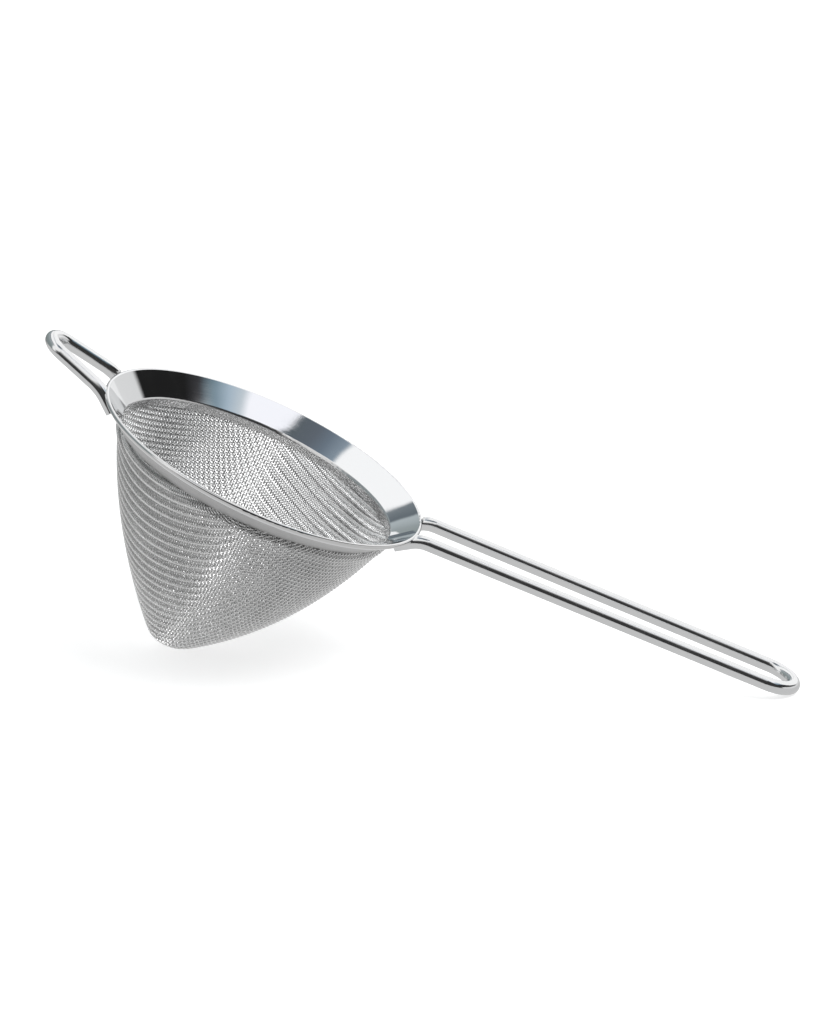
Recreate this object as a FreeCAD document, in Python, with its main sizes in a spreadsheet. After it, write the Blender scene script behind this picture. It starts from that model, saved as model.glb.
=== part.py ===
import FreeCAD, Part
import math
import os

import Sketcher

# A conical tea strainer: a polished rim flange hemmed over a satin backing ring, a basket of woven
# wire cloth whose border is trapped between the two, a hairpin wire handle, and a short wire ear
# opposite it that rests on the far side of a cup.
#
# Every piece is drawn in the rim's own frame: the rim's axis is Z, its upper edge lies in z = 0, and
# X runs from the axis towards the handle. One shared placement then tips the strainer into the pose
# it rests in on a table, on the basket's tip and the handle's end, with the table top at z = 0.
# Lengths are millimetres and angles are degrees.

DIMENSIONS = {
    "rim_radius": 42.5,
    "gauge": 0.25,
    "cloth_thickness": 0.35,
    "flange_slope": 41.0,
    "hem_return": 1.1,
    "neck_radius": 35.75,
    "neck_depth": 7.3,
    "shoulder_radius": 1.0,
    "wall_top_radius": 35.3,
    "wall_top_depth": 10.0,
    "wall_arc_radius": 118.0,
    "basket_depth": 56.1,
    "tip_radius": 9.7,
    "tip_lean": 2.7,
    "wire_diameter": 3.5,
    "tail_slope": 35.8,
    "seat_play": 0.03,
    "handle_reach": 141.2,
    "handle_rise": 3.49,
    "handle_lift": -0.17,
    "handle_end_bend": 6.9,
    "handle_splay": 0.35,
    "handle_root_bend": 7.8,
    "handle_tail_drop": 0.56,
    "handle_tail_end": 38.65,
    "ear_reach": 59.35,
    "ear_rise": 12.6,
    "ear_lift": -0.46,
    "ear_end_bend": 5.1,
    "ear_splay": 14.3,
    "ear_root_bend": 13.5,
    "ear_tail_drop": 0.65,
    "ear_tail_end": 38.95,
    "rest_tilt": 22.959,
    "rest_lift": 51.442,
    "rest_shift": -39.469,
}

RIM_AXIS = FreeCAD.Vector(0, 0, 1)
TILT_AXIS = FreeCAD.Vector(0, 1, 0)
ORIGIN = FreeCAD.Vector(0, 0, 0)
FULL_TURN = 360.0

doc = FreeCAD.newDocument("TeaStrainer")
sheet = doc.addObject("Spreadsheet::Sheet", "Sizes")
for row, (alias, value) in enumerate(DIMENSIONS.items(), start=1):
    sheet.set("A%d" % row, alias.replace("_", " "))
    sheet.set("B%d" % row, str(value))
    sheet.setAlias("B%d" % row, alias)
doc.recompute()


def size(alias):
    """The value of a named cell of the sheet."""
    return float(getattr(sheet, alias))


# ---------------------------------------------------------------- the rim's section

# The rim is a stack of sheets that lie parallel under the flange's top face. A sheet's depth is how
# far it lies under that face, measured square to it.
CLOTH_TOP = size("gauge")
BACKING_TOP = CLOTH_TOP + size("cloth_thickness")
BACKING_UNDER = BACKING_TOP + size("gauge")
HEM_UNDER = BACKING_UNDER + size("gauge")
HEM_RADIUS = HEM_UNDER / 2
HEM_FORMULA = "(3 * Sizes.gauge + Sizes.cloth_thickness) / 2"


def section_point(radius, height):
    """A point of a cross-section, in its sketch's plane: X is the radius and Y the height."""
    return FreeCAD.Vector(radius, height, 0)


SLOPE = math.radians(size("flange_slope"))
OUTWARD = section_point(math.cos(SLOPE), math.sin(SLOPE))
UNDER = section_point(math.sin(SLOPE), -math.cos(SLOPE))
HEM_CENTRE = section_point(size("rim_radius") - HEM_RADIUS, -HEM_RADIUS)


def in_stack(radius, depth):
    """The point at this radius on the line that lies this depth under the flange's top face."""
    start = HEM_CENTRE + UNDER * (depth - HEM_RADIUS)
    return start + OUTWARD * ((radius - start.x) / OUTWARD.x)


SHOULDER_CENTRE = in_stack(size("neck_radius") + size("shoulder_radius"), size("shoulder_radius"))
WALL_SIDE = 180.0
TOP_SIDE = 90.0 + size("flange_slope")
UNDER_SIDE = size("flange_slope") - 90.0


def beside_hem(depth):
    """The point at this depth of the stack, square across from the hem's centre."""
    return HEM_CENTRE + UNDER * (depth - HEM_RADIUS)


def beside_shoulder(depth):
    """The point at this depth of the stack, where the sheets start to bend down the neck."""
    return SHOULDER_CENTRE + UNDER * (depth - size("shoulder_radius"))


# ---------------------------------------------------------------- sketching helpers

def line(start, end):
    """A straight stretch of an outline, with the ends that the path enters and leaves by."""
    return Part.LineSegment(start, end), 1, 2


def arc(centre, radius, first_angle, last_angle):
    """A round stretch of an outline from one angle to another, either way round."""
    circle = Part.Circle(centre, RIM_AXIS, radius)
    low, high = sorted((math.radians(first_angle), math.radians(last_angle)))
    enters, leaves = (1, 2) if last_angle > first_angle else (2, 1)
    return Part.ArcOfCircle(circle, low, high), enters, leaves


def draw_outline(sketch, pieces):
    """Adds a closed chain of pieces: tangent where a line meets an arc, joined elsewhere."""
    for geometry, _, _ in pieces:
        sketch.addGeometry(geometry, False)
    for index, (geometry, _, leaves) in enumerate(pieces):
        following = (index + 1) % len(pieces)
        next_geometry, enters, _ = pieces[following]
        smooth = isinstance(geometry, Part.LineSegment) != isinstance(next_geometry, Part.LineSegment)
        joint = "Tangent" if smooth else "Coincident"
        sketch.addConstraint(Sketcher.Constraint(joint, index, leaves, following, enters))


def relate(sketch, *relations):
    """Adds constraints that have no size, each given as a tuple."""
    for relation in relations:
        sketch.addConstraint(Sketcher.Constraint(*relation))


def bind(sketch, name, expression, *constraint):
    """Adds a driving dimension to a sketch and ties it to the sheet."""
    index = sketch.addConstraint(Sketcher.Constraint(*constraint))
    sketch.renameConstraint(index, name)
    sketch.setExpression("Constraints." + name, expression)


def section_sketch(body, name):
    """A sketch on the body's own XZ plane, for a section to be turned about the rim's axis."""
    sketch = body.newObject("Sketcher::SketchObject", name)
    plane = next(item for item in body.Origin.OriginFeatures if item.Role == "XZ_Plane")
    sketch.AttachmentSupport = [(plane, "")]
    sketch.MapMode = "FlatFace"
    return sketch


def turn(body, sketch, name):
    """Turns a section once round the rim's axis."""
    ring = body.newObject("PartDesign::Revolution", name)
    ring.Profile = sketch
    ring.ReferenceAxis = (sketch, ["V_Axis"])
    ring.Angle = FULL_TURN


# ---------------------------------------------------------------- rim flange and backing ring

def make_rim_flange():
    """The polished flange: upright neck, rounded shoulder, cone, and a hem closed on the ring."""
    body = doc.addObject("PartDesign::Body", "rim_flange")
    sketch = section_sketch(body, "flange_section")
    gauge = size("gauge")
    neck = size("neck_radius")
    low = -size("neck_depth")
    shoulder = size("shoulder_radius")
    inner_fold = HEM_RADIUS - gauge
    back = OUTWARD * -size("hem_return")
    lip_outer = beside_hem(HEM_UNDER)
    lip_inner = beside_hem(BACKING_UNDER)
    draw_outline(sketch, [
        line(section_point(neck, low), section_point(neck, SHOULDER_CENTRE.y)),
        arc(SHOULDER_CENTRE, shoulder, WALL_SIDE, TOP_SIDE),
        line(beside_shoulder(0), beside_hem(0)),
        arc(HEM_CENTRE, HEM_RADIUS, TOP_SIDE, UNDER_SIDE),
        line(lip_outer, lip_outer + back),
        line(lip_outer + back, lip_inner + back),
        line(lip_inner + back, lip_inner),
        arc(HEM_CENTRE, inner_fold, UNDER_SIDE, TOP_SIDE),
        line(beside_hem(CLOTH_TOP), beside_shoulder(CLOTH_TOP)),
        arc(SHOULDER_CENTRE, shoulder - gauge, TOP_SIDE, WALL_SIDE),
        line(section_point(neck + gauge, SHOULDER_CENTRE.y), section_point(neck + gauge, low)),
        line(section_point(neck + gauge, low), section_point(neck, low)),
    ])
    relate(sketch, ("Vertical", 0), ("Vertical", 10), ("Horizontal", 11),
           ("Coincident", 1, 3, 9, 3), ("Coincident", 3, 3, 7, 3),
           ("Parallel", 2, 4), ("Parallel", 2, 6), ("Perpendicular", 4, 5))
    bind(sketch, "slope", "Sizes.flange_slope", "Angle", 2, SLOPE)
    bind(sketch, "neck", "Sizes.neck_radius", "DistanceX", -1, 1, 0, 1, neck)
    bind(sketch, "neck_low", "-Sizes.neck_depth", "DistanceY", -1, 1, 0, 1, low)
    bind(sketch, "shoulder", "Sizes.shoulder_radius", "Radius", 1, shoulder)
    bind(sketch, "shoulder_in", "Sizes.shoulder_radius - Sizes.gauge", "Radius", 9, shoulder - gauge)
    bind(sketch, "hem", HEM_FORMULA, "Radius", 3, HEM_RADIUS)
    bind(sketch, "fold", HEM_FORMULA + " - Sizes.gauge", "Radius", 7, inner_fold)
    bind(sketch, "edge", "Sizes.rim_radius - " + HEM_FORMULA, "DistanceX", -1, 1, 3, 3, HEM_CENTRE.x)
    bind(sketch, "edge_low", "-" + HEM_FORMULA, "DistanceY", -1, 1, 3, 3, HEM_CENTRE.y)
    bind(sketch, "lip", "Sizes.hem_return", "Distance", 4, size("hem_return"))
    turn(body, sketch, "flange_ring")
    return body


def make_backing_ring():
    """The satin ring under the cloth: a shallow cone whose outer edge is held in the hem."""
    body = doc.addObject("PartDesign::Body", "backing_ring")
    sketch = section_sketch(body, "backing_section")
    corners = [beside_shoulder(BACKING_TOP), beside_hem(BACKING_TOP),
               beside_hem(BACKING_UNDER), beside_shoulder(BACKING_UNDER)]
    draw_outline(sketch, [line(start, corners[(index + 1) % 4]) for index, start in enumerate(corners)])
    relate(sketch, ("Parallel", 0, 2), ("Perpendicular", 0, 1), ("Perpendicular", 0, 3))
    bind(sketch, "slope", "Sizes.flange_slope", "Angle", 0, SLOPE)
    bind(sketch, "gauge", "Sizes.gauge", "Distance", 1, size("gauge"))
    below_centre = "(Sizes.cloth_thickness - Sizes.gauge) / 2"
    bind(sketch, "edge", "Sizes.rim_radius - %s + %s * sin(Sizes.flange_slope * 1 deg)"
         % (HEM_FORMULA, below_centre), "DistanceX", -1, 1, 1, 1, corners[1].x)
    bind(sketch, "edge_low", "-%s - %s * cos(Sizes.flange_slope * 1 deg)"
         % (HEM_FORMULA, below_centre), "DistanceY", -1, 1, 1, 1, corners[1].y)
    bind(sketch, "inner", "Sizes.neck_radius + Sizes.shoulder_radius - (Sizes.shoulder_radius"
         " - Sizes.gauge - Sizes.cloth_thickness) * sin(Sizes.flange_slope * 1 deg)",
         "DistanceX", -1, 1, 0, 1, corners[0].x)
    turn(body, sketch, "backing_turned")
    return body


# ---------------------------------------------------------------- wire cloth basket

def tangent_arc_centre(start, radius, tip_centre, tip_radius):
    """The centre of the arc that starts at a point and runs smoothly into the tip's circle."""
    across = tip_centre - start
    gap = across.Length
    inner = radius - tip_radius
    along = (radius ** 2 - inner ** 2 + gap ** 2) / (2 * gap)
    rise = math.sqrt(radius ** 2 - along ** 2)
    toward = across * (1 / gap)
    side = section_point(toward.y, -toward.x)
    return start + toward * along + side * rise


def basket_stations(inset):
    """Section points down one face of the basket, this far inside the cloth's outer face."""
    tip_radius = size("tip_radius")
    tip_centre = section_point(0, tip_radius - size("basket_depth"))
    top = section_point(size("wall_top_radius"), -size("wall_top_depth"))
    radius = size("wall_arc_radius")
    centre = tangent_arc_centre(top, radius, tip_centre, tip_radius)
    first = math.atan2(top.y - centre.y, top.x - centre.x)
    join = math.atan2(tip_centre.y - centre.y, tip_centre.x - centre.x)
    last = math.radians(-84.0)
    collar = size("neck_radius") + size("gauge") + size("cloth_thickness")
    points = [section_point(collar - inset, -size("neck_depth"))]
    wall_steps = 6
    tip_steps = 5
    for step in range(wall_steps + 1):
        angle = first + (join - first) * step / wall_steps
        reach = radius - inset
        points.append(centre + section_point(math.cos(angle), math.sin(angle)) * reach)
    for step in range(1, tip_steps + 1):
        angle = join + (last - join) * step / tip_steps
        reach = tip_radius - inset
        points.append(tip_centre + section_point(math.cos(angle), math.sin(angle)) * reach)
    return points


def basket_body(inset):
    """A closed solid inside one face of the basket, its tip leaning a little towards the ear."""
    neck_depth = size("neck_depth")
    rings = []
    for station in basket_stations(inset):
        fall = (-station.y - neck_depth) / (size("basket_depth") - neck_depth)
        centre = FreeCAD.Vector(-size("tip_lean") * fall ** 4, 0, station.y)
        rings.append(Part.Wire(Part.makeCircle(station.x, centre, RIM_AXIS)))
    return Part.makeLoft(rings, True, False)


def cloth_border():
    """The cloth's border: up the outside of the neck, round the shoulder and along to the hem."""
    inner = size("neck_radius") + size("gauge")
    outer = inner + size("cloth_thickness")
    low = -size("neck_depth")
    bend = SHOULDER_CENTRE

    def on_bend(radius, angle):
        turned = math.radians(angle)
        return bend + section_point(math.cos(turned), math.sin(turned)) * radius

    def bend_arc(radius):
        middle = (WALL_SIDE + TOP_SIDE) / 2
        return Part.Arc(on_bend(radius, WALL_SIDE), on_bend(radius, middle), on_bend(radius, TOP_SIDE))

    upper_radius = size("shoulder_radius") - CLOTH_TOP
    lower_radius = size("shoulder_radius") - BACKING_TOP
    edges = [
        Part.LineSegment(section_point(inner, low), on_bend(upper_radius, WALL_SIDE)),
        bend_arc(upper_radius),
        Part.LineSegment(on_bend(upper_radius, TOP_SIDE), beside_hem(CLOTH_TOP)),
        Part.LineSegment(beside_hem(CLOTH_TOP), beside_hem(BACKING_TOP)),
        Part.LineSegment(beside_hem(BACKING_TOP), on_bend(lower_radius, TOP_SIDE)),
        bend_arc(lower_radius),
        Part.LineSegment(on_bend(lower_radius, WALL_SIDE), section_point(outer, low)),
        Part.LineSegment(section_point(outer, low), section_point(inner, low)),
    ]
    section = Part.Face(Part.Wire([edge.toShape() for edge in edges]))
    section.rotate(ORIGIN, FreeCAD.Vector(1, 0, 0), 90)
    return section.revolve(ORIGIN, RIM_AXIS, FULL_TURN)


def make_mesh_basket():
    """The woven cloth as one closed shell of the cloth's thickness: border, wall and round tip."""
    basket = doc.addObject("Part::Feature", "mesh_basket")
    shell = basket_body(0).cut(basket_body(size("cloth_thickness")))
    basket.Shape = shell.fuse(cloth_border()).removeSplitter()
    return basket


# ---------------------------------------------------------------- bent wires

def bent_path(corners, bends):
    """A path along a line of corners, with each inner corner rounded to its bend radius."""
    edges = []
    here = corners[0]
    for before, corner, after, bend in zip(corners, corners[1:], corners[2:], bends):
        inward = (before - corner).normalize()
        onward = (after - corner).normalize()
        half = inward.getAngle(onward) / 2
        tangent = bend / math.tan(half)
        toward = (inward + onward).normalize()
        middle = corner + toward * (bend / math.sin(half) - bend)
        start = corner + inward * tangent
        end = corner + onward * tangent
        if start.distanceToPoint(here) > 1e-6:
            edges.append(Part.makeLine(here, start))
        edges.append(Part.Arc(start, middle, end).toShape())
        here = end
    edges.append(Part.makeLine(here, corners[-1]))
    return Part.Wire(edges)


def hairpin_corners(name, toward):
    """The bend points of a hairpin wire: tail, root and end bend on each side, then back.

    The legs lie in a plane that rises away from the rim and spread apart towards it. Each tail turns
    down to lie under the rim. toward is +1 for the wire on the handle's side and -1 for the ear.
    """
    reach = size(name + "_reach")
    bend = size(name + "_end_bend")
    splay = math.radians(size(name + "_splay"))
    rise = math.tan(math.radians(size(name + "_rise")))
    climb = math.hypot(1, rise * math.cos(splay))
    end_angle = math.acos(-math.sin(splay) / climb)
    end_y = bend / math.tan(end_angle / 2)

    def leg_point(run):
        """A point of the leg's line, this far back from the end corner in plan."""
        x = reach - run * math.cos(splay)
        height = size(name + "_lift") + rise * (x - size("rim_radius"))
        return FreeCAD.Vector(x, end_y + run * math.sin(splay), height)

    def run_to(radius):
        """How far back the leg's line first comes within this radius of the rim's axis."""
        along = reach * math.cos(splay) - end_y * math.sin(splay)
        return along - math.sqrt(along ** 2 - reach ** 2 - end_y ** 2 + radius ** 2)

    tail_rise = math.tan(math.radians(size("tail_slope")))
    root_x = size("rim_radius") + (size(name + "_lift") + size(name + "_tail_drop")) / (tail_rise - rise)
    tail = leg_point(run_to(size(name + "_tail_end")))
    tail.z = (tail.x - size("rim_radius")) * tail_rise - size(name + "_tail_drop")
    root = leg_point((reach - root_x) / math.cos(splay))
    one_side = [tail, root, leg_point(0)]
    other_side = [FreeCAD.Vector(spot.x, -spot.y, spot.z) for spot in reversed(one_side)]
    return [FreeCAD.Vector(toward * spot.x, toward * spot.y, spot.z) for spot in one_side + other_side]


def make_seat_tool():
    """A ring that takes from a wire's tail all that would stand in or above the rim."""
    body = doc.addObject("PartDesign::Body", "seat_tool")
    sketch = section_sketch(body, "seat_section")
    play = size("seat_play")
    outside = size("rim_radius") + play
    above = 2 * size("wire_diameter")
    inside = size("neck_radius") - size("wire_diameter")
    back = OUTWARD * -(size("hem_return") + play)
    draw_outline(sketch, [
        line(section_point(outside, above), section_point(outside, HEM_CENTRE.y)),
        arc(HEM_CENTRE, HEM_RADIUS + play, 0.0, UNDER_SIDE),
        line(beside_hem(HEM_UNDER + play), beside_hem(HEM_UNDER + play) + back),
        line(beside_hem(HEM_UNDER + play) + back, beside_hem(BACKING_UNDER + play) + back),
        line(beside_hem(BACKING_UNDER + play) + back, in_stack(inside, BACKING_UNDER + play)),
        line(in_stack(inside, BACKING_UNDER + play), section_point(inside, above)),
        line(section_point(inside, above), section_point(outside, above)),
    ])
    relate(sketch, ("Vertical", 0), ("Vertical", 5), ("Horizontal", 6),
           ("Parallel", 2, 4), ("Perpendicular", 2, 3))
    bind(sketch, "slope", "180 + Sizes.flange_slope", "Angle", 2, math.pi + SLOPE)
    bind(sketch, "edge", "Sizes.rim_radius - " + HEM_FORMULA, "DistanceX", -1, 1, 1, 3, HEM_CENTRE.x)
    bind(sketch, "edge_low", "-" + HEM_FORMULA, "DistanceY", -1, 1, 1, 3, HEM_CENTRE.y)
    bind(sketch, "hem", HEM_FORMULA + " + Sizes.seat_play", "Radius", 1, HEM_RADIUS + play)
    bind(sketch, "lip", "Sizes.hem_return + Sizes.seat_play", "Distance", 2, size("hem_return") + play)
    bind(sketch, "lip_gauge", "Sizes.gauge", "Distance", 3, size("gauge"))
    bind(sketch, "inside", "Sizes.neck_radius - Sizes.wire_diameter", "DistanceX", -1, 1, 5, 1, inside)
    bind(sketch, "above", "2 * Sizes.wire_diameter", "DistanceY", -1, 1, 0, 1, above)
    turn(body, sketch, "seat_ring")
    return body


def make_bent_wire(name, toward, seat_tool):
    """A wire bent into a hairpin, with the tails that lie under the rim pressed to a flat seat."""
    path = doc.addObject("Part::Feature", name + "_path")
    bends = [size(name + which) for which in ("_root_bend", "_end_bend", "_end_bend", "_root_bend")]
    path.Shape = bent_path(hairpin_corners(name, toward), bends)
    first = path.Shape.OrderedEdges[0]
    section = doc.addObject("Part::Circle", name + "_section")
    section.setExpression("Radius", "Sizes.wire_diameter / 2")
    start = first.valueAt(first.FirstParameter)
    heading = first.tangentAt(first.FirstParameter)
    section.Placement = FreeCAD.Placement(start, FreeCAD.Rotation(RIM_AXIS, heading))
    sweep = doc.addObject("Part::Sweep", name + "_sweep")
    sweep.Sections = [section]
    sweep.Spine = (path, ["Edge%d" % (index + 1) for index in range(len(path.Shape.Edges))])
    sweep.Solid = True
    sweep.Frenet = False
    wire = doc.addObject("Part::Cut", name + "_wire")
    wire.Base = sweep
    wire.Tool = seat_tool
    return wire


# ---------------------------------------------------------------- assembly and export

def rest_on_table(piece):
    """Tips a piece from the rim's frame into the resting pose, tied to the sheet."""
    piece.Placement = FreeCAD.Placement(ORIGIN, FreeCAD.Rotation(TILT_AXIS, size("rest_tilt")))
    piece.setExpression("Placement.Rotation.Angle", "Sizes.rest_tilt * 1 deg")
    piece.setExpression("Placement.Base.x", "Sizes.rest_shift * 1 mm")
    piece.setExpression("Placement.Base.z", "Sizes.rest_lift * 1 mm")


def check(item):
    """Stops the build on a feature that failed."""
    if "Invalid" in item.State or "Error" in item.State:
        raise RuntimeError("%s did not build: %s" % (item.Name, item.State))


def export(piece, label):
    """Names a finished sub-part, checks that it is one sound solid, and writes its STEP file."""
    piece.Label = label
    shape = piece.Shape
    if shape.isNull() or not shape.isValid() or len(shape.Solids) != 1:
        raise RuntimeError("%s is not one valid solid" % label)
    print("%-14s %9.1f mm3  %s" % (label, shape.Volume, shape.BoundBox))
    shape.exportStep(os.path.join("parts", label + ".step"))


os.makedirs("parts", exist_ok=True)
tool = make_seat_tool()
pieces = {
    "rim_flange": make_rim_flange(),
    "backing_ring": make_backing_ring(),
    "mesh_basket": make_mesh_basket(),
    "long_handle": make_bent_wire("handle", 1, tool),
    "cup_rest_ear": make_bent_wire("ear", -1, tool),
}
for made in pieces.values():
    rest_on_table(made)
doc.recompute()
for item in doc.Objects:
    check(item)
for label, made in pieces.items():
    export(made, label)
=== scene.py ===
import math

import bpy
import numpy as np
from mathutils import Matrix, Vector


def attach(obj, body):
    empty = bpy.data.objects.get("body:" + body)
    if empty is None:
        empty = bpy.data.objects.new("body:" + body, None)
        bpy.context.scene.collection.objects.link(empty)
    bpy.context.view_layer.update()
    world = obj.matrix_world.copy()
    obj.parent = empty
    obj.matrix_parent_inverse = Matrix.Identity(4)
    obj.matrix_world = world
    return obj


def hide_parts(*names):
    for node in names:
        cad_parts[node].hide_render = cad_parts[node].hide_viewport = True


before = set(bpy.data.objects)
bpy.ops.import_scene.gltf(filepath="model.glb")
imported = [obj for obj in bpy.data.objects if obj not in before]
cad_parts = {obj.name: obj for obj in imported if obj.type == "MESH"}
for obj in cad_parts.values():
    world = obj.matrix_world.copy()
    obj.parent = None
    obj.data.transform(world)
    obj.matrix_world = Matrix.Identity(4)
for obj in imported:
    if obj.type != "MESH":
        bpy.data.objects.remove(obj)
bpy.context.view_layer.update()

# The looks of a conical tea strainer. The CAD solids of the flange, the backing ring and the two bent
# wires keep their shape and get metals of their own. The CAD shell of the basket gives way to wire
# cloth woven wire by wire. Lengths are millimetres in the rim's frame (rim axis Z, upper edge z = 0,
# X towards the handle) until place_in_row() turns them into the row's metres.

MM = 0.001

# How the rim's frame sits in the row: tipped about Y, then moved.
REST_TILT = math.radians(22.959)
RIM_CENTRE = Vector((-39.469, 0.0, 51.442))

# The basket's outer face.
NECK_OUTER_RADIUS = 36.0
NECK_DEPTH = 7.3
WALL_TOP_RADIUS = 35.3
WALL_TOP_DEPTH = 10.0
WALL_ARC_RADIUS = 118.0
BASKET_DEPTH = 56.1
TIP_RADIUS = 9.7
TIP_LEAN = 2.7
TIP_LEAN_POWER = 4

# The flange: the radii where its neck gives way to the polished cone and the cone to the hem, the
# radius of the cone's middle, and how fast the cone's slope grows outwards (per mm).
NECK_EDGE = (35.9, 36.15)
HEM_EDGE = (41.9, 42.1)
FLANGE_MIDDLE = 39.3
FLANGE_DISH = 0.003

# The cloth: twill weave, two wires over and two under, with its wires almost square to the handle.
# Each wire is a closed tube. Each of the two sets of wires is made in bands, one mesh to a band.
PITCH = 0.73
CLOTH_WIRE = 0.36
WEAVE_TURN = math.radians(3.0)
CLOTH_TOP_DEPTH = 5.1
WIRE_SIDES = 6
BANDS = 4
NEWTON_ROUNDS = 12


def place_in_row(points):
    """Moves an array of points from the rim's frame in millimetres to the row's frame in metres."""
    turn = np.array(Matrix.Rotation(REST_TILT, 3, "Y"))
    return (points @ turn.T + np.array(RIM_CENTRE)) * MM


# ---------------------------------------------------------------- woven cloth

class ClothFace:
    """The middle of the cloth as a surface of revolution, measured by the distance from its tip."""

    STEP = 0.02
    COARSE = 10
    ARC_POINTS = 200

    def __init__(self):
        # The cloth is two wires thick: its middle is one wire inside the basket's outer face and one
        # wire outside the neck. The collar's outline runs on past where the wires are cut.
        inset = CLOTH_WIRE
        centre_z = TIP_RADIUS - BASKET_DEPTH
        wall_x, wall_z = self.wall_centre(centre_z)
        join = math.atan2(centre_z - wall_z, -wall_x)
        first = math.atan2(-WALL_TOP_DEPTH - wall_z, WALL_TOP_RADIUS - wall_x)
        tip = self.arc(0.0, centre_z, TIP_RADIUS - inset, -math.pi / 2, join)
        wall = self.arc(wall_x, wall_z, WALL_ARC_RADIUS - inset, join, first)
        collar_radius = NECK_OUTER_RADIUS + CLOTH_WIRE
        collar = np.array([[collar_radius, -NECK_DEPTH], [collar_radius, NECK_DEPTH]])
        outline = np.vstack([tip, wall[1:], collar])
        along = np.concatenate([[0.0], np.cumsum(np.hypot(*np.diff(outline, axis=0).T))])
        self.distance = np.arange(0.0, along[-1], self.STEP)
        self.radius = np.interp(self.distance, along, outline[:, 0])
        self.height = np.interp(self.distance, along, outline[:, 1])
        self.radius_slope = np.gradient(self.radius, self.STEP)
        self.height_slope = np.gradient(self.height, self.STEP)

    @staticmethod
    def wall_centre(tip_z):
        """The centre of the wall's arc, which starts at the wall's top and runs into the tip's."""
        across = np.array([-WALL_TOP_RADIUS, tip_z + WALL_TOP_DEPTH])
        gap = np.hypot(*across)
        inner = WALL_ARC_RADIUS - TIP_RADIUS
        along = (WALL_ARC_RADIUS ** 2 - inner ** 2 + gap ** 2) / (2 * gap)
        rise = math.sqrt(WALL_ARC_RADIUS ** 2 - along ** 2)
        toward = across / gap
        side = np.array([toward[1], -toward[0]])
        return np.array([WALL_TOP_RADIUS, -WALL_TOP_DEPTH]) + toward * along + side * rise

    @staticmethod
    def arc(centre_x, centre_z, radius, start, end):
        """Points along an arc in the plane of the outline."""
        angle = np.linspace(start, end, ClothFace.ARC_POINTS)
        return np.stack([centre_x + radius * np.cos(angle), centre_z + radius * np.sin(angle)], 1)

    def read(self, table, distance):
        """One of the face's tables at these distances from the tip."""
        return np.interp(distance, self.distance, table)

    def point(self, distance, turn):
        """The face's points at these distances from the tip and turns about the axis."""
        radius = self.read(self.radius, distance)
        height = self.read(self.height, distance)
        return np.stack([radius * np.cos(turn), radius * np.sin(turn), height], -1)

    def normal(self, distance, turn):
        """The outward normal."""
        outward = self.read(self.height_slope, distance)
        down = self.read(self.radius_slope, distance)
        size = np.hypot(outward, down)
        flat = outward / size
        return np.stack([flat * np.cos(turn), flat * np.sin(turn), -down / size], -1)

    def nearest(self, guess):
        """Roughly the distance and turn of the face's points nearest to these ones."""
        turn = np.arctan2(guess[:, 1], guess[:, 0])
        radius = np.hypot(guess[:, 0], guess[:, 1])
        coarse = slice(None, None, self.COARSE)
        gap = np.hypot(self.radius[None, coarse] - radius[:, None],
                       self.height[None, coarse] - guess[:, 2:3])
        return self.distance[coarse][gap.argmin(1)], turn


def drape(face):
    """Lays a square net on one quarter of the face: every cell keeps its four sides one pitch long.

    Two of its wires run straight up the face from the tip, a quarter turn apart. Returns each
    crossing's distance from the tip and its turn, not a number where the net has left the face.
    """
    reach = face.distance[-1] - 2 * PITCH
    count = int(reach / PITCH) + 1
    distance = np.full((count, count), np.nan)
    turn = np.full((count, count), np.nan)
    distance[:, 0] = np.arange(count) * PITCH
    distance[0, :] = distance[:, 0]
    turn[:, 0] = 0.0
    turn[0, :] = math.pi / 2
    for diagonal in range(2, 2 * count - 1):
        i = np.arange(max(1, diagonal - count + 1), min(count, diagonal))
        j = diagonal - i
        open_cell = np.isfinite(distance[i - 1, j]) & np.isfinite(distance[i, j - 1])
        i = i[open_cell]
        j = j[open_cell]
        if not len(i):
            break
        one = face.point(distance[i - 1, j], turn[i - 1, j])
        other = face.point(distance[i, j - 1], turn[i, j - 1])
        behind = face.point(distance[i - 1, j - 1], turn[i - 1, j - 1])
        here, angle = close_cell(face, one, other, one + other - behind)
        here[here > reach] = np.nan
        distance[i, j] = here
        turn[i, j] = angle
    return distance, turn


def close_cell(face, one, other, guess):
    """Finds the face's points one pitch from both neighbours, by Newton's method."""
    distance, turn = face.nearest(guess)
    for _ in range(NEWTON_ROUNDS):
        spot = face.point(distance, turn)
        along = np.stack([face.read(face.radius_slope, distance) * np.cos(turn),
                          face.read(face.radius_slope, distance) * np.sin(turn),
                          face.read(face.height_slope, distance)], -1)
        radius = face.read(face.radius, distance)
        around = np.stack([-radius * np.sin(turn), radius * np.cos(turn), 0 * radius], -1)
        to_one = spot - one
        to_other = spot - other
        miss_one = (to_one ** 2).sum(1) - PITCH ** 2
        miss_other = (to_other ** 2).sum(1) - PITCH ** 2
        a = 2 * (to_one * along).sum(1)
        b = 2 * (to_one * around).sum(1)
        c = 2 * (to_other * along).sum(1)
        d = 2 * (to_other * around).sum(1)
        det = a * d - b * c
        distance = distance - (d * miss_one - b * miss_other) / det
        turn = turn - (a * miss_other - c * miss_one) / det
        distance = np.clip(distance, 0.0, face.distance[-1])
    return distance, turn


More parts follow.
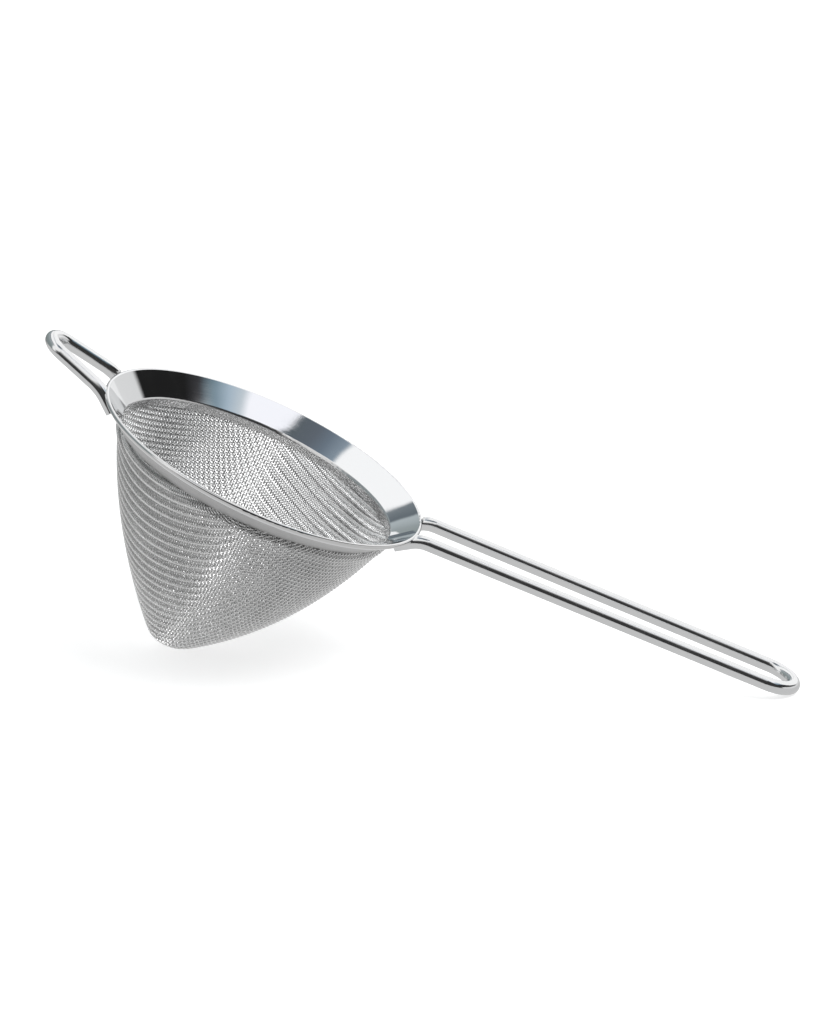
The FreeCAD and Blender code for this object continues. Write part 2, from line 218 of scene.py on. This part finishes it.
def full_net(face):
    """Mirrors the quarter net to the whole basket: points and outward normals of every crossing."""
    distance, turn = drape(face)
    spot = face.point(distance, turn)
    normal = face.normal(distance, turn)
    count = len(distance)
    index = np.arange(-count + 1, count)
    size = np.abs(index)
    sign = np.where(index < 0, -1.0, 1.0)
    spots = spot[size[:, None], size[None, :]].copy()
    normals = normal[size[:, None], size[None, :]].copy()
    for values in (spots, normals):
        values[..., 0] *= sign[:, None]
        values[..., 1] *= sign[None, :]
        turned(values, WEAVE_TURN)
    fall = ((-spots[..., 2] - NECK_DEPTH) / (BASKET_DEPTH - NECK_DEPTH)).clip(0.0)
    spots[..., 0] -= TIP_LEAN * fall ** TIP_LEAN_POWER
    return index, spots, normals


def turned(values, angle):
    """Turns vectors about Z in place."""
    x = values[..., 0] * math.cos(angle) - values[..., 1] * math.sin(angle)
    y = values[..., 0] * math.sin(angle) + values[..., 1] * math.cos(angle)
    values[..., 0] = x
    values[..., 1] = y


def wire_paths(index, spots, normals, start):
    """Each wire of one family as a path over two and under two, split where it leaves the face."""
    for row, number in enumerate(index):
        inside = np.isfinite(spots[row, :, 2]) & (spots[row, :, 2] < -CLOTH_TOP_DEPTH)
        run = np.flatnonzero(inside)
        if len(run) < 2:
            continue
        for piece in np.split(run, np.flatnonzero(np.diff(run) > 1) + 1):
            if len(piece) < 2:
                continue
            path = np.empty((2 * len(piece) - 1, 3))
            path[0::2] = spots[row, piece]
            path[1::2] = (path[0:-2:2] + path[2::2]) / 2
            up = np.repeat(normals[row, piece], 2, axis=0)[:-1]
            # The weave repeats after four crossings, which are eight steps of the path.
            eighths = 2 * (index[piece[0]] + number) + 1 + np.arange(len(path))
            height = np.sin(start + eighths * math.pi / 4) * CLOTH_WIRE / math.sqrt(2)
            yield path + height[:, None] * up, up


def tubes(paths):
    """Round closed tubes along many paths, as one set of vertices and faces."""
    vertices = []
    quads = []
    caps = []
    start = 0
    corner = np.arange(WIRE_SIDES) * 2 * math.pi / WIRE_SIDES
    for path, up in paths:
        along = np.gradient(path, axis=0)
        along /= np.linalg.norm(along, axis=1, keepdims=True)
        side = np.cross(along, up)
        side /= np.linalg.norm(side, axis=1, keepdims=True)
        rise = np.cross(side, along)
        ring = (np.cos(corner)[None, :, None] * side[:, None]
                + np.sin(corner)[None, :, None] * rise[:, None])
        vertices.append((path[:, None] + ring * CLOTH_WIRE / 2).reshape(-1, 3))
        count = len(path)
        grid = start + np.arange(count * WIRE_SIDES).reshape(count, WIRE_SIDES)
        here = grid[:-1]
        beyond = grid[1:]
        quads.append(np.stack([here, np.roll(here, -1, 1), np.roll(beyond, -1, 1), beyond], -1)
                     .reshape(-1, 4))
        caps.append(grid[0, ::-1])
        caps.append(grid[-1])
        start += count * WIRE_SIDES
    return np.vstack(vertices), np.vstack(quads), np.array(caps)


def mesh_object(name, vertices, quads, caps):
    """A smooth-shaded mesh object from arrays, linked to the scene."""
    mesh = bpy.data.meshes.new(name)
    mesh.vertices.add(len(vertices))
    mesh.vertices.foreach_set("co", vertices.astype(np.float32).ravel())
    corners = np.concatenate([quads.ravel(), caps.ravel()])
    sizes = np.concatenate([np.full(len(quads), 4), np.full(len(caps), caps.shape[1])])
    starts = np.concatenate([[0], np.cumsum(sizes)[:-1]])
    mesh.loops.add(len(corners))
    mesh.loops.foreach_set("vertex_index", corners.astype(np.int32))
    mesh.polygons.add(len(sizes))
    mesh.polygons.foreach_set("loop_start", starts.astype(np.int32))
    mesh.polygons.foreach_set("use_smooth", np.ones(len(sizes), bool))
    mesh.update(calc_edges=True)
    piece = bpy.data.objects.new(name, mesh)
    bpy.context.scene.collection.objects.link(piece)
    return piece


def make_cloth(materials):
    """The woven basket, in bands of neighbouring wires so that no single mesh is too heavy."""
    pieces = []
    index, spots, normals = full_net(ClothFace())
    families = {
        "cloth_warp": (spots, normals, 0.0),
        "cloth_weft": (spots.transpose(1, 0, 2), normals.transpose(1, 0, 2), math.pi),
    }
    for family, (points, outward, start) in families.items():
        paths = list(wire_paths(index, points, outward, start))
        weights = np.cumsum([len(path) for path, _ in paths])
        band_of = (weights - 1) * BANDS // weights[-1]
        for band in range(BANDS):
            chosen = [paths[k] for k in np.flatnonzero(band_of == band)]
            vertices, quads, caps = tubes(chosen)
            piece = mesh_object("%s_%d" % (family, band + 1), place_in_row(vertices), quads, caps)
            piece.data.materials.append(materials[family])
            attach(piece, "root")
            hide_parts("mesh_basket")
            pieces.append(piece)
    return pieces


# ---------------------------------------------------------------- materials

# How much the fine detail of a noise counts, and the range that most of its values lie in.
NOISE_ROUGHNESS = 0.55
NOISE_MIDDLE = (0.3, 0.7)


class Tree:
    """Builds a node tree with one short call per node."""

    # The Mix node's sockets for colours, by number, because its names stand for several sockets.
    MIX_FACTOR = 0
    MIX_LOW = 6
    MIX_HIGH = 7
    MIX_RESULT = 2

    def __init__(self, owner):
        owner.use_nodes = True
        self.tree = owner.node_tree
        self.tree.nodes.clear()

    def add(self, kind, inputs=None, **settings):
        """Adds a node, sets its properties, and fills inputs with values or links."""
        node = self.tree.nodes.new("ShaderNode" + kind)
        for key, value in settings.items():
            setattr(node, key, value)
        for key, value in (inputs or {}).items():
            if isinstance(value, bpy.types.NodeSocket):
                self.tree.links.new(value, node.inputs[key])
            else:
                node.inputs[key].default_value = value
        return node

    def math(self, operation, *values):
        """A maths node's result."""
        return self.add("Math", dict(enumerate(values)), operation=operation).outputs[0]

    def product(self, *factors):
        """All of some factors multiplied together."""
        result = factors[0]
        for factor in factors[1:]:
            result = self.math("MULTIPLY", result, factor)
        return result

    def blend(self, factor, low, high):
        """A colour mixed between two others."""
        inputs = {self.MIX_FACTOR: factor, self.MIX_LOW: low, self.MIX_HIGH: high}
        return self.add("Mix", inputs, data_type="RGBA").outputs[self.MIX_RESULT]

    def spread(self, value, from_low, from_high, to_low=0.0, to_high=1.0):
        """A value mapped smoothly from one range to another and held at its ends."""
        return self.add("MapRange", {"Value": value, "From Min": from_low, "From Max": from_high,
                                     "To Min": to_low, "To Max": to_high},
                        interpolation_type="SMOOTHSTEP").outputs["Result"]

    def window(self, value, opens, full, fades, shuts):
        """A factor that is 1 between two values and fades out beyond them."""
        return self.product(self.spread(value, opens, full), self.spread(value, fades, shuts, 1.0, 0.0))


def grey(value):
    """A neutral linear colour."""
    return (value, value, value, 1.0)


def rim_coordinates(tree):
    """The shaded point in the rim's frame, in millimetres: its vector, radius, turn and height."""
    place = tree.add("TexCoord").outputs["Object"]
    offset = tree.add("VectorMath", {0: place, 1: RIM_CENTRE * MM}, operation="SUBTRACT").outputs[0]
    level = tree.add("VectorRotate", {"Vector": offset, "Angle": -REST_TILT},
                     rotation_type="Y_AXIS").outputs[0]
    scaled = tree.add("VectorMath", {0: level, "Scale": 1 / MM}, operation="SCALE").outputs[0]
    parts = tree.add("SeparateXYZ", {0: scaled}).outputs
    radius = tree.math("SQRT", tree.math("ADD", tree.math("POWER", parts["X"], 2.0),
                                         tree.math("POWER", parts["Y"], 2.0)))
    turn = tree.math("ARCTAN2", parts["Y"], parts["X"])
    return scaled, radius, turn, parts["Z"]


def noise(tree, vector, scale, detail=3.0):
    """Cloudy values around a half, with this many clouds to each unit of the vector."""
    return tree.add("TexNoise", {"Vector": vector, "Scale": scale, "Detail": detail,
                                 "Roughness": NOISE_ROUGHNESS}).outputs["Fac"]


def shades(tree, value, low, high):
    """Noise between two levels: its middle values are stretched to fill the range."""
    return tree.spread(value, *NOISE_MIDDLE, low, high)


def bump(tree, height, strength, depth_mm, normal=None):
    """A normal bent by a height, on top of another normal where there is one."""
    inputs = {"Height": height, "Strength": strength, "Distance": depth_mm * MM}
    if normal is not None:
        inputs["Normal"] = normal
    return tree.add("Bump", inputs).outputs["Normal"]


def finish_metal(tree, colour, roughness, normal=None):
    """Ends a material as bare metal."""
    inputs = {"Base Color": colour, "Metallic": 1.0, "Roughness": roughness}
    if normal is not None:
        inputs["Normal"] = normal
    shader = tree.add("BsdfPrincipled", inputs)
    tree.add("OutputMaterial", {"Surface": shader.outputs[0]})


def circling(tree, radius, turn, height, per_mm, per_turn):
    """Coordinates that run much slower round the rim than across it, for turned marks."""
    return tree.add("CombineXYZ", {"X": tree.math("MULTIPLY", radius, per_mm),
                                   "Y": tree.math("MULTIPLY", turn, per_turn),
                                   "Z": tree.math("MULTIPLY", height, per_mm)}).outputs[0]


def polished_flange_material():
    """Mirror-polished cone, a little dished, with a duller hem and a neck that is polished less."""
    material = bpy.data.materials.new("polished_flange")
    tree = Tree(material)
    point, radius, turn, height = rim_coordinates(tree)
    marks = noise(tree, circling(tree, radius, turn, height, 9.0, 3.0), 1.0)
    neck = tree.spread(radius, *NECK_EDGE, 1.0, 0.0)
    smear = noise(tree, point, 0.12, 2.0)
    polished = tree.spread(smear, 0.35, 0.7, 0.03, 0.07)
    brushed = shades(tree, marks, 0.16, 0.26)
    roughness = tree.add("Mix", {"Factor": neck, "A": polished, "B": brushed}).outputs["Result"]
    hem = tree.spread(radius, *HEM_EDGE)
    colour = tree.blend(neck, (0.86, 0.87, 0.88, 1.0), grey(0.66))
    colour = tree.blend(hem, colour, grey(0.74))
    from_middle = tree.math("SUBTRACT", radius, FLANGE_MIDDLE)
    dish = bump(tree, tree.math("MULTIPLY", from_middle, from_middle), 1.0, FLANGE_DISH / 2)
    wave = bump(tree, noise(tree, point, 0.07, 1.0), 0.25, 0.35, dish)
    finish_metal(tree, colour, roughness, bump(tree, marks, 0.12, 0.01, wave))
    return material


def satin_ring_material():
    """Turned satin steel: a soft grey with fine lines round the rim."""
    material = bpy.data.materials.new("satin_ring")
    tree = Tree(material)
    point, radius, turn, height = rim_coordinates(tree)
    marks = noise(tree, circling(tree, radius, turn, height, 14.0, 4.0), 1.0, 4.0)
    patches = noise(tree, point, 0.1, 2.0)
    colour = tree.blend(shades(tree, marks, 0.0, 1.0), grey(0.58), grey(0.7))
    roughness = shades(tree, patches, 0.34, 0.46)
    finish_metal(tree, colour, roughness, bump(tree, marks, 0.3, 0.02))
    return material


def drawn_wire_material():
    """Bright drawn wire, polished, with the faintest lengthways marks and a little tarnish."""
    material = bpy.data.materials.new("drawn_wire")
    tree = Tree(material)
    point, _, _, _ = rim_coordinates(tree)
    drawn = tree.add("Mapping", {"Vector": point, "Scale": (0.04, 3.0, 3.0)}).outputs[0]
    marks = noise(tree, drawn, 1.0)
    smear = noise(tree, point, 0.15, 2.0)
    colour = tree.blend(smear, (0.78, 0.79, 0.8, 1.0), (0.88, 0.88, 0.88, 1.0))
    roughness = shades(tree, smear, 0.1, 0.17)
    finish_metal(tree, colour, roughness, bump(tree, marks, 0.15, 0.01))
    return material


def cloth_wire_material(name, dull, bright):
    """Fine annealed wire, its grey uneven between two tones and its shine uneven too. The tones' level is
    painted: darker for the warp as painted shade, lighter for the weft as painted light.
    """
    material = bpy.data.materials.new(name)
    tree = Tree(material)
    point, _, _, _ = rim_coordinates(tree)
    stain = noise(tree, point, 0.08, 3.0)
    grain = noise(tree, point, 1.6, 2.0)
    shade = tree.math("ADD", tree.math("MULTIPLY", stain, 0.6), tree.math("MULTIPLY", grain, 0.4))
    colour = tree.blend(shades(tree, shade, 0.0, 1.0), grey(dull), grey(bright))
    roughness = shades(tree, grain, 0.16, 0.3)
    finish_metal(tree, colour, roughness)
    return material


def set_material(node, material):
    """Gives a CAD node a finish of its own."""
    for material_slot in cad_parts[node].material_slots:
        material_slot.link = "OBJECT"
        material_slot.material = material


# ---------------------------------------------------------------- studio

# What the strainer mirrors: the studio as a fan of cards round the Y axis, from the right hand
# horizon (0 degrees) over the top (90) to the left hand horizon (180), each a linear colour.
CARDS = (
    (0.0, (0.86, 0.86, 0.86)),
    (9.5, (0.76, 0.76, 0.76)),
    (13.2, (0.7, 0.7, 0.7)),
    (13.8, (0.015, 0.015, 0.015)),
    (29.0, (0.015, 0.015, 0.015)),
    (34.0, (0.045, 0.045, 0.05)),
    (38.5, (0.18, 0.26, 0.31)),
    (43.8, (0.42, 0.52, 0.61)),
    (49.0, (0.6, 0.66, 0.71)),
    (52.5, (1.05, 1.05, 1.1)),
    (69.5, (1.05, 1.05, 1.1)),
    (70.5, (0.1, 0.12, 0.13)),
    (81.3, (0.125, 0.146, 0.175)),
    (87.1, (0.156, 0.197, 0.244)),
    (93.6, (0.25, 0.31, 0.37)),
    (94.8, (1.05, 1.05, 1.05)),
    (119.2, (1.05, 1.05, 1.05)),
    (120.2, (0.2, 0.23, 0.25)),
    (125.8, (0.135, 0.16, 0.18)),
    (127.2, (0.45, 0.5, 0.52)),
    (136.0, (0.33, 0.37, 0.38)),
    (146.0, (0.28, 0.32, 0.32)),
    (165.0, (0.23, 0.27, 0.275)),
    (180.0, (0.22, 0.26, 0.26)),
)

# Where the direction's X is within EDGE_BESIDE, the fan's edges slant: they shift along X by
# EDGE_SLANT times how far the direction's Y, held within EDGE_REACH, is beyond EDGE_Y.
EDGE_Y = -0.165
EDGE_SLANT = 5.0
EDGE_REACH = (-0.22, -0.12)
EDGE_BESIDE = (0.2, 0.26, 0.45, 0.6)

# What breaks up the fan: a pale card low at the back, two white ones higher up at the back and at the
# right, and everything in front, which is white round a dark room. Each fades in over a range of the
# direction's X, Y or Z, or, where there are four values, in and out again. HIGH_BACK_RISE is a range
# of Z + HIGH_BACK_LEAN * Y and ROOM_TOP one of Z - ROOM_LEAN * X.
RIGHT_HALF = (-0.1, 0.05)
LOW_BACK_Y = (0.69, 0.75)
LOW_BACK_SHADE = grey(0.75)
HIGH_BACK_Y = (0.03, 0.12)
HIGH_BACK_RISE = (0.64, 0.7)
HIGH_BACK_LEAN = 0.6
HIGH_RIGHT_X = (0.28, 0.32, 0.5, 0.6)
HIGH_RIGHT_Y = (-0.14, -0.1)
HIGH_RIGHT_Z = (0.64, 0.7)
HIGH_SHADE = grey(1.05)
FRONT_Y = (-0.45, -0.3)
ROOM_TOP = (0.5, 0.75)
ROOM_LEAN = 0.5
ROOM_LEFT = (-0.8, -0.62)
ROOM_SHADE = grey(0.04)

# The floor: for the camera, paper that glows almost white, so that only the deepest shade shows. For
# reflections, a grey table that ends in the dark in front and at a backdrop behind, the first of its
# two shades for rays that head right and the second for those that head left. Y is in metres.
PAPER_SHADE = grey(0.6)
PAPER_GLOW = grey(0.62)
TABLE_SHADE = grey(0.62)
TABLE_DARK_SHADE = grey(0.04)
TABLE_DARK_Y = (-0.32, -0.24)
BACKDROP_Y = (0.15, 0.45)
BACKDROP_HEADING = (0.06, 0.13)
BACKDROP_SHADES = (grey(0.9), grey(0.25))

# The square lamps, in metres.
LAMP_DISTANCE = 1.2
LAMP_SIZE = 0.7


def make_world():
    """A white studio for the camera; for reflections, cards overhead and a dark room in front."""
    world = bpy.data.worlds.new("studio")
    bpy.context.scene.world = world
    tree = Tree(world)
    toward = tree.add("TexCoord").outputs["Generated"]
    parts = tree.add("SeparateXYZ", {0: toward}).outputs
    x, y, z = parts["X"], parts["Y"], parts["Z"]
    near_edge = tree.add("Clamp", {"Value": y, "Min": EDGE_REACH[0], "Max": EDGE_REACH[1]}).outputs[0]
    off_edge = tree.math("MULTIPLY", tree.math("SUBTRACT", near_edge, EDGE_Y), EDGE_SLANT)
    slant = tree.product(off_edge, tree.window(x, *EDGE_BESIDE))
    around = tree.math("ARCTAN2", z, tree.math("SUBTRACT", x, slant))
    ramp = tree.add("ValToRGB", {0: tree.math("DIVIDE", around, math.pi)})
    stops = ramp.color_ramp.elements
    while len(stops) < len(CARDS):
        stops.new(1.0)
    for stop, (angle, colour) in zip(stops, CARDS):
        stop.position = angle / 180.0
        stop.color = (*colour, 1.0)
    right_half = tree.spread(x, *RIGHT_HALF)
    low_back = tree.product(tree.spread(y, *LOW_BACK_Y), right_half)
    rise = tree.math("ADD", z, tree.math("MULTIPLY", y, HIGH_BACK_LEAN))
    high_back = tree.product(tree.spread(y, *HIGH_BACK_Y), tree.spread(rise, *HIGH_BACK_RISE), right_half)
    high_right = tree.product(tree.window(x, *HIGH_RIGHT_X), tree.spread(y, *HIGH_RIGHT_Y),
                           tree.spread(z, *HIGH_RIGHT_Z))
    cards = tree.blend(low_back, ramp.outputs[0], LOW_BACK_SHADE)
    cards = tree.blend(tree.math("MAXIMUM", high_back, high_right), cards, HIGH_SHADE)
    over_room = tree.math("SUBTRACT", z, tree.math("MULTIPLY", x, ROOM_LEAN))
    room = tree.product(tree.spread(over_room, *ROOM_TOP, 1.0, 0.0), tree.spread(x, *ROOM_LEFT))
    front = tree.blend(room, grey(1.0), ROOM_SHADE)
    reflected = tree.blend(tree.spread(y, *FRONT_Y), front, cards)
    seen = tree.add("LightPath").outputs["Is Camera Ray"]
    shown = tree.blend(seen, reflected, grey(1.0))
    background = tree.add("Background", {"Color": shown, "Strength": 1.0})
    tree.add("OutputWorld", {"Surface": background.outputs[0]})


def make_floor():
    """White paper that shows only the deepest shade; mirrored, a grey table, dark far in front."""
    bpy.ops.mesh.primitive_plane_add(size=30.0, location=(0, 0, 0))
    floor = bpy.context.object
    floor.name = "studio_floor"
    material = bpy.data.materials.new("floor_paper")
    material.cycles.emission_sampling = "NONE"
    tree = Tree(material)
    place = tree.add("TexCoord").outputs["Object"]
    depth = tree.add("SeparateXYZ", {0: place}).outputs["Y"]
    lit = tree.add("BsdfDiffuse", {"Color": PAPER_SHADE})
    glow = tree.add("Emission", {"Color": PAPER_GLOW})
    paper = tree.add("AddShader", {0: lit.outputs[0], 1: glow.outputs[0]})
    table = tree.blend(tree.spread(depth, *TABLE_DARK_Y), TABLE_DARK_SHADE, TABLE_SHADE)
    leftward = tree.add("SeparateXYZ", {0: tree.add("NewGeometry").outputs["Incoming"]}).outputs["X"]
    backdrop = tree.blend(tree.spread(leftward, *BACKDROP_HEADING), *BACKDROP_SHADES)
    table = tree.blend(tree.spread(depth, *BACKDROP_Y), table, backdrop)
    mirrored = tree.add("Emission", {"Color": table})
    glossy = tree.add("LightPath").outputs["Is Glossy Ray"]
    shader = tree.add("MixShader", {0: glossy, 1: paper.outputs[0], 2: mirrored.outputs[0]})
    tree.add("OutputMaterial", {"Surface": shader.outputs[0]})
    floor.data.materials.append(material)
    return floor


def make_lamp(name, toward, power, lit):
    """A square lamp in one direction, shining only at one collection of objects."""
    data = bpy.data.lights.new(name, "AREA")
    data.shape = "SQUARE"
    data.size = LAMP_SIZE
    data.energy = power
    lamp = bpy.data.objects.new(name, data)
    heading = Vector(toward).normalized()
    lamp.location = heading * LAMP_DISTANCE
    lamp.rotation_euler = heading.to_track_quat("Z", "Y").to_euler()
    bpy.context.scene.collection.objects.link(lamp)
    lamp.visible_camera = False
    lamp.light_linking.receiver_collection = lit


def make_camera():
    """The camera stands before the strainer, a little towards the handle, looking down at it."""
    target = Vector((-1.16, 0.6, 39.3)) * MM
    azimuth = math.radians(6.53)
    elevation = math.radians(17.4)
    roll = math.radians(1.98)
    distance = 1.0
    focal_per_height = 3.97685546875
    back = Vector((math.sin(azimuth) * math.cos(elevation),
                   -math.cos(azimuth) * math.cos(elevation), math.sin(elevation)))
    data = bpy.data.cameras.new("camera")
    data.lens = data.sensor_width * focal_per_height
    data.clip_start = 0.05
    data.clip_end = 60.0
    camera = bpy.data.objects.new("camera", data)
    camera.rotation_mode = "QUATERNION"
    camera.rotation_quaternion = (-back).to_track_quat("-Z", "Y") @ Matrix.Rotation(
        roll, 3, "Z").to_quaternion()
    camera.location = target + back * distance
    bpy.context.scene.collection.objects.link(camera)
    bpy.context.scene.camera = camera


# ---------------------------------------------------------------- the scene

set_material("rim_flange", polished_flange_material())
set_material("backing_ring", satin_ring_material())
bright_wire = drawn_wire_material()
set_material("long_handle", bright_wire)
set_material("cup_rest_ear", bright_wire)
# Painted shade and light: the warp wires get a dark grey and the weft wires a near white one, though both
# are the same steel. This stands in for how the weave's two sets of wires catch light and shade.
cloth = make_cloth({
    "cloth_warp": cloth_wire_material("warp_wire_painted_shade", 0.42, 0.6),
    "cloth_weft": cloth_wire_material("weft_wire_painted_light", 0.94, 1.0),
})
make_world()
floor = make_floor()
lamp_lit = bpy.data.collections.new("lamp_lit")
for piece in [*cloth, floor]:
    lamp_lit.objects.link(piece)
make_lamp("right_lamp", (0.47, -0.17, 0.87), 9.5, lamp_lit)
make_lamp("left_lamp", (-0.32, 0.37, 0.87), 0.4, lamp_lit)
make_camera()
bpy.context.scene.view_settings.view_transform = "Standard"
